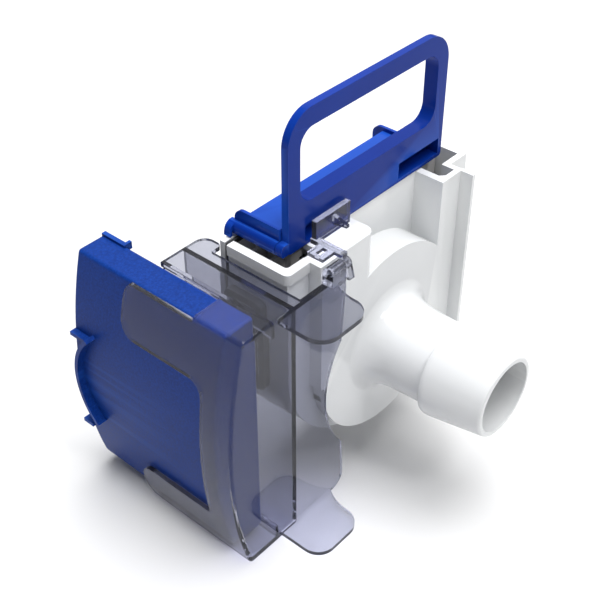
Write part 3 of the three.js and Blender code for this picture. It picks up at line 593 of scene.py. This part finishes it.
def doorwayPath():
    d = doorway
    outside, c = d["tongue"] + 8, d["corner"]
    path = [(outside, tub["bottom"] - 3), (d["lip"] - c, tub["bottom"] - 3)]
    path += arcPath((d["lip"] - c, tub["bottom"] + c), (c, c), -math.pi / 2, 0, 12)
    path += bendPath(path[-1], (d["lip"], d["sill"]), (d["lip"] - c, d["sill"]))
    s = d["sideCorner"]
    path += bendPath((d["side"] + s, d["sill"]), (d["side"], d["sill"]), (d["side"], d["sill"] + s), 4)
    path += [(d["side"], d["lintel"] - c)]
    path += bendPath(path[-1], (d["side"], d["lintel"]), (d["side"] + c, d["lintel"]))
    path += arcPath((d["tongue"] - c, d["lintel"] + c), (c, c), -math.pi / 2, 0, 12)
    path += arcPath((d["tongue"] - c, tub["top"] - c), (c, c), 0, math.pi / 2, 12)
    return path + [(d["tongue"] - c, tub["top"] + 3), (outside, tub["top"] + 3)]


def wingPath():
    w, low, high = wing, tub["bottom"] + 2, tub["top"]
    footStart, footEnd = w["foot"]
    path = [(w["root"], low), (footStart, low)]
    path += bendPath((footStart, low), (footEnd, low + 1), (footEnd, w["heel"]))
    path += [w["knee"]]
    path += bendPath(w["knee"], w["pinch"], w["waist"], 16)
    path += bendPath(w["waist"], w["swell"], w["shoulder"], 16)
    path += bendPath(w["neck"], (w["neck"][0], high), (w["head"], high))
    return path + [(w["root"], high)]


# Flat ear that stands out in front of the side wall.
def earSolid(top):
    left, right = ear["x"]
    c, front, root = ear["corner"], ear["front"], tub["side"][0] + 0.6
    along, deep = ear["fillet"]
    path = [(left, root)] + arcPath((left + c, front + c), (c, c), math.pi, 1.5 * math.pi, 14)
    path += arcPath((right - c, front + c), (c, c), -math.pi / 2, 0, 14)
    path += bendPath((right, front + c), (right, root - deep), (right + along, root), 12)
    return prism(path, "z", (top - ear["thick"], top))


def binShell():
    b, slotBack = tub, door["back"] - 1.2
    inside = (b["bottom"] + b["wall"], b["top"] - b["wall"])
    shell = prism(frontedPath(0, (b["bottom"], b["top"]), b["back"][1]), "y",
        (b["side"][0], doorway["tongue"] + 4))
    soften(shell, 1.5, 4)
    hollow = prism(frontedPath(b["wall"], inside, b["back"][0]), "y", (b["side"][1], doorway["tongue"] + 6))
    soften(hollow, 0.6, 3)
    openTop = (b["top"] - b["wall"] - 0.5, b["top"] + 1)
    return cut(shell, hollow, block((slotBack, -50), (b["end"], 120), (-90, 90)),
        block((-110, door["back"] - 0.8), (b["mouth"], 120), openTop),
        prism(doorwayPath(), "x", (-110, slotBack)),
        block((b["back"][0] - 1, b["back"][1] + 1), *housing["port"]))


def clearBinPiece():
    b, l = tub, latch
    plate = (b["top"] - b["wall"], b["top"])
    rail = (door["back"] + gap, door["back"] + gap + b["railWall"])
    railRun = (b["side"][1] - 0.5, b["end"])
    railLow, railHigh = b["railTall"]
    ledge = rectanglePath((b["back"][0], b["ledge"][0]), (b["ledge"][1], b["end"]), (0, 2, 5, 0))
    shell = binShell()
    join(shell, prism(wingPath(), "y", b["side"]),
        block((b["back"][0], -housing["rearHalf"] - gap), (b["side"][0] + 0.2, b["end"] - 6), plate),
        prism(ledge, "z", plate), earSolid(b["top"]), earSolid(b["bottom"] + b["lowEar"]),
        block(l["bracket"], (l["pin"][0] - l["barrel"], b["side"][1]), (b["top"] - 1, l["pin"][1])),
        rod(l["pin"], l["barrel"], l["bracket"], "x", 40),
        block(rail, railRun, (b["top"] - railHigh, b["top"] - railLow)),
        block(rail, railRun, (b["bottom"] + railLow, b["bottom"] + railHigh)))
    cut(shell, rod(l["pin"], l["bore"], (l["bracket"][0] + l["cheek"], -30), "x", 32))
    soften(shell, b["round"], 3)
    return finishPiece(shell, "clearBin", "debris_bin", "clear_plastic", smokyClear, "clear_bin")


# Thin curved wall that a finger pulls the door out by.
def fingerLip():
    f = fingerRing
    outer, (low, high) = f["radius"] + f["wall"], f["span"]
    path = arcPath(f["centre"], (outer, outer), low, high, 32)
    path += arcPath(f["centre"], (f["radius"], f["radius"]), high, low, 32)
    return prism(path, "x", f["x"])


def doorPiece():
    d = door
    skin, w = tub["wall"] + d["clearance"], d["wall"]
    tray = prism(frontedPath(skin, d["z"], d["back"]), "y", d["y"])
    soften(tray, 1.3, 4)
    hollow = prism(frontedPath(skin + w, (d["z"][0] + w, d["z"][1] - w), d["back"] + 1), "y",
        (d["y"][0] + w, d["y"][1] - w))
    end, low = d["y"][1], d["z"][0]
    along, up = d["chamfer"]
    foot = prism([(end - along, low - 1), (end + 1, low - 1), (end + 1, low + up)], "x", (-110, -60))
    cut(tray, hollow, foot)
    clip = (d["z"][1] + d["clipZ"][0], d["z"][1] + d["clipZ"][1])
    clipStart, toothEnd, clipEnd = d["clipY"]
    front, barBack, toothBack = [d["back"] + offset for offset in d["clipX"]]
    join(tray, fingerLip(), block(*d["upperTab"]), block(*d["lowerTab"]),
        block((front, barBack), (clipStart, clipEnd), clip),
        block((front, toothBack), (clipStart, toothEnd), clip))
    soften(tray, d["round"], 3)
    return finishPiece(tray, "blueDoor", "door", "blue_grain", blueGrain, "bin_door")


clearBinPiece()
doorPiece()
roundedCopy("latch_pin", 0.15, "latchPin", "debris_bin", "steel", steel)
roundedCopy("cover_latch", 0.3, "clearLatch", "latch", "clear_plastic", smokyClear)
roundedCopy("door_seal", 0.3, "doorSeal", "door", "rubber", blackRubber)

print("bin, latch and door built")

# Floor, lights and camera.

stage = dict(floor=-64.4, half=3000.0, thick=20.0, pale=((0.7, 0.7, 0.7), (0.72, 0.72, 0.72)),
    sky=(0.94, 0.96, 1), skyPower=0.2)
lights = [   # name, place in metres, aimed at, size, power, colour
    ("overhead", (0.15, 0, 2.0), (0, 0.05, 0), 2.0, 72, (1, 1, 1)),
    ("right", (0.3, -1.2, 0.5), (0.02, 0.03, 0.02), 0.8, 0.7, (1, 0.99, 0.98)),
    ("glint", (-0.15, -0.75, 1.2), (0, 0, 0), 0.22, 4.0, (1, 1, 1)),
    ("behind", (0.8, 0.7, 0.85), (0, 0.05, 0), 1.0, 1.8, (1, 1, 1)),
]
view = dict(place=(-297.29, -179.73, 306.91), down=38.48, turn=41.16, lens=68.16, sensor=36, nearest=0.01)


def floorMaterial():
    n = Nodes("paleFloor")
    tone = n.mixed(n.spread(n.noise(3, 4), 0, 1), *stage["pale"])
    n.set(Base_Color=tone, Roughness=0.7)
    return n.material


def makeStage():
    half, top = stage["half"], stage["floor"]
    floor = block((-half, half), (-half, half), (top - stage["thick"], top), "floor")
    floor.data.materials.append(floorMaterial())
    for name, place, target, size, power, colour in lights:
        lamp = bpy.data.lights.new(name, "AREA")
        lamp.shape = "DISK"
        lamp.size, lamp.energy, lamp.color = size, power, colour
        holder = bpy.data.objects.new(name, lamp)
        holder.location = place
        holder.rotation_euler = (Vector(target) - Vector(place)).to_track_quat("-Z", "Y").to_euler()
        bpy.context.scene.collection.objects.link(holder)
    world = bpy.data.worlds.new("softSky")
    world.use_nodes = True
    sky = world.node_tree.nodes["Background"]
    sky.inputs["Color"].default_value = (*stage["sky"], 1)
    sky.inputs["Strength"].default_value = stage["skyPower"]
    bpy.context.scene.world = world
    bpy.context.scene.view_settings.view_transform = "Standard"


def makeCamera():
    down, turn = math.radians(view["down"]), math.radians(view["turn"])
    ahead = Vector((math.cos(down) * math.cos(turn), math.cos(down) * math.sin(turn), -math.sin(down)))
    lens = bpy.data.cameras.new("camera")
    lens.lens, lens.sensor_width = view["lens"], view["sensor"]
    lens.clip_start = view["nearest"]
    camera = bpy.data.objects.new("camera", lens)
    camera.location = Vector(view["place"]) * mm
    camera.rotation_euler = ahead.to_track_quat("-Z", "Y").to_euler()
    bpy.context.scene.collection.objects.link(camera)
    bpy.context.scene.camera = camera


makeStage()
makeCamera()
print("stage, lights and camera ready")
